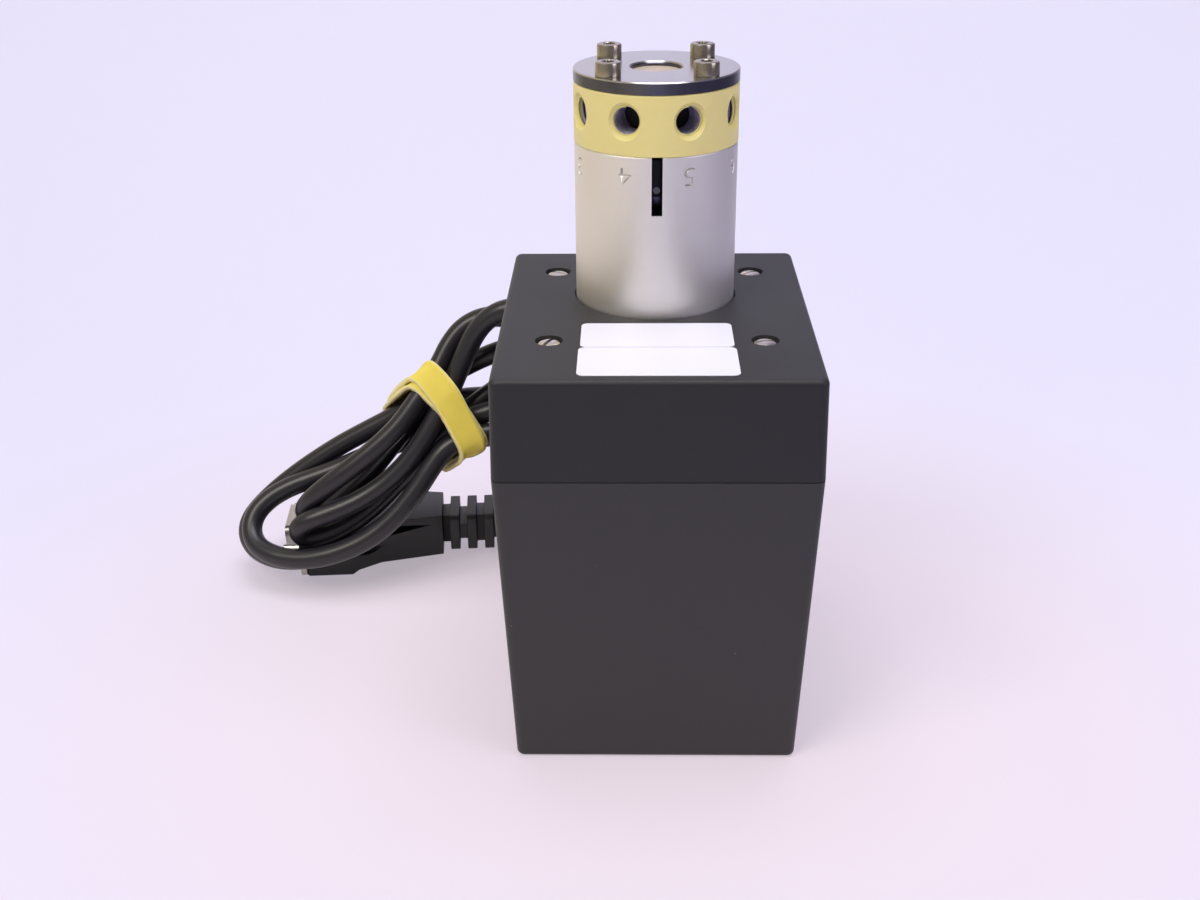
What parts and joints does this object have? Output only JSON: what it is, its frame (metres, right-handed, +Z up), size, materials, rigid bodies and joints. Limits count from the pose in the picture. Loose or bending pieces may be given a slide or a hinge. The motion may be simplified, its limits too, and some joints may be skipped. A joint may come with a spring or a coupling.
{
  "type": "hplc injection valve",
  "caption": "Motor-driven rotary injection valve: a slotted metal body with a ported polymer stator and steel ring on a boxy actuator housing, its cable tied in a hank.",
  "frame": {"origin": "centre of the housing's foot, on the surface it stands on", "axes": "+Z up along the valve's axis, +X to the right and +Y to the back, seen from the face with the two stickers; the valve's axis stands 12.1 mm behind the origin"},
  "size_m": [0.1484, 0.1292, 0.1469],
  "materials": {
    "housing_black": "fine matt moulded texture",
    "screw_nickel": "bright nickel plated",
    "label_white": "smooth paper, blank",
    "plate_aluminium": "milled",
    "body_aluminium": "fine turned, clear anodised",
    "stator_polymer": "machined, satin",
    "ring_steel": "polished",
    "screw_steel": "stainless, satin",
    "bright_steel": "ground",
    "carrier_steel": "blackened",
    "seal_polymer": "filled polymer, smooth",
    "bronze": "sintered",
    "gear_brass": "hobbed",
    "motor_steel": "satin",
    "black_polymer": "plain",
    "board_green": "solder mask",
    "capacitor_blue": "sleeved",
    "header_cream": "plain",
    "gland_black": "moulded",
    "nut_black": "moulded",
    "cable_black": "satin sheath",
    "band_yellow": "matt rubber",
    "plug_black": "satin moulded",
    "plug_metal": "tin plated",
    "insert_black": "plain",
    "pin_gold": "gold plated"
  },
  "bodies": {
    "housing": {"housing_base": "housing_black", "housing_cover": "housing_black", "case_screws": "screw_nickel", "motor_screws": "screw_nickel", "board_screws": "screw_nickel", "label_upper": "label_white", "label_lower": "label_white", "upper_plate": "plate_aluminium", "lower_plate": "plate_aluminium", "plate_spacers": "plate_aluminium", "valve_body": "body_aluminium", "stator": "stator_polymer", "pressure_ring": "ring_steel", "stator_screws": "screw_steel", "body_screws": "screw_steel", "stator_dowels": "screw_steel", "thrust_race_lower": "bright_steel", "bearing_outer_ring": "bright_steel", "disc_springs": "bright_steel", "upper_bush": "bronze", "lower_bush": "bronze", "motor_gearhead": "motor_steel", "motor_can": "motor_steel", "motor_end_cap": "black_polymer", "position_sensor": "black_polymer", "board_chips": "black_polymer", "circuit_board": "board_green", "board_capacitors": "capacitor_blue", "board_header": "header_cream", "cable_gland": "gland_black", "gland_nut": "nut_black", "cable_lead": "cable_black", "cable_hank": "cable_black", "cable_tail": "cable_black", "hank_band": "band_yellow", "plug_hood": "plug_black", "plug_relief": "plug_black", "plug_shell": "plug_metal", "plug_insert": "insert_black", "plug_pins": "pin_gold"},
    "rotor": {"rotor_seal": "seal_polymer", "seal_pins": "bright_steel", "rotor_carrier": "carrier_steel", "carrier_pin": "bright_steel", "drive_shaft": "bright_steel", "shaft_clip": "bright_steel", "thrust_race_upper": "bright_steel", "bearing_inner_ring": "bright_steel", "output_gear": "gear_brass", "gear_grub_screw": "bright_steel", "position_disc": "black_polymer"},
    "thrust_bearing_cage": {"thrust_rollers": "bright_steel", "thrust_cage": "bronze"},
    "ball_bearing_cage": {"bearing_balls": "bright_steel", "bearing_cage": "bronze"},
    "pinion": {"motor_pinion": "bright_steel", "motor_shaft": "bright_steel"},
    "near_jack": {"jack_screw_near": "plug_metal"},
    "far_jack": {"jack_screw_far": "plug_metal"}
  },
  "joints": [
    {"name": "rotor_turn", "type": "hinge", "parent": "housing", "child": "rotor", "pos_m": [0, 0.01212, 0.12], "axis": [0, 0, 1], "range_deg": [0, 45]},
    {"name": "thrust_cage_turn", "type": "hinge", "parent": "housing", "child": "thrust_bearing_cage", "pos_m": [0, 0.01212, 0.117], "axis": [0, 0, 1], "range_deg": [0, 22.5]},
    {"name": "ball_cage_turn", "type": "hinge", "parent": "housing", "child": "ball_bearing_cage", "pos_m": [0, 0.01212, 0.081], "axis": [0, 0, 1], "range_deg": [0, 18]},
    {"name": "pinion_turn", "type": "hinge", "parent": "housing", "child": "pinion", "pos_m": [0, -0.01433, 0.069], "axis": [0, 0, 1], "range_deg": [-140.62, 0]},
    {"name": "near_jack_turn", "type": "hinge", "parent": "housing", "child": "near_jack", "pos_m": [-0.09442, 0.04464, 0.0073], "axis": [0.9969, 0.0785, 0], "continuous": true},
    {"name": "far_jack_turn", "type": "hinge", "parent": "housing", "child": "far_jack", "pos_m": [-0.09638, 0.06956, 0.0073], "axis": [0.9969, 0.0785, 0], "continuous": true}
  ],
  "couplings": [
    {"joint": "thrust_cage_turn", "follows": "rotor_turn", "ratio": 0.5},
    {"joint": "ball_cage_turn", "follows": "rotor_turn", "ratio": 0.4},
    {"joint": "pinion_turn", "follows": "rotor_turn", "ratio": -3.125}
  ]
}
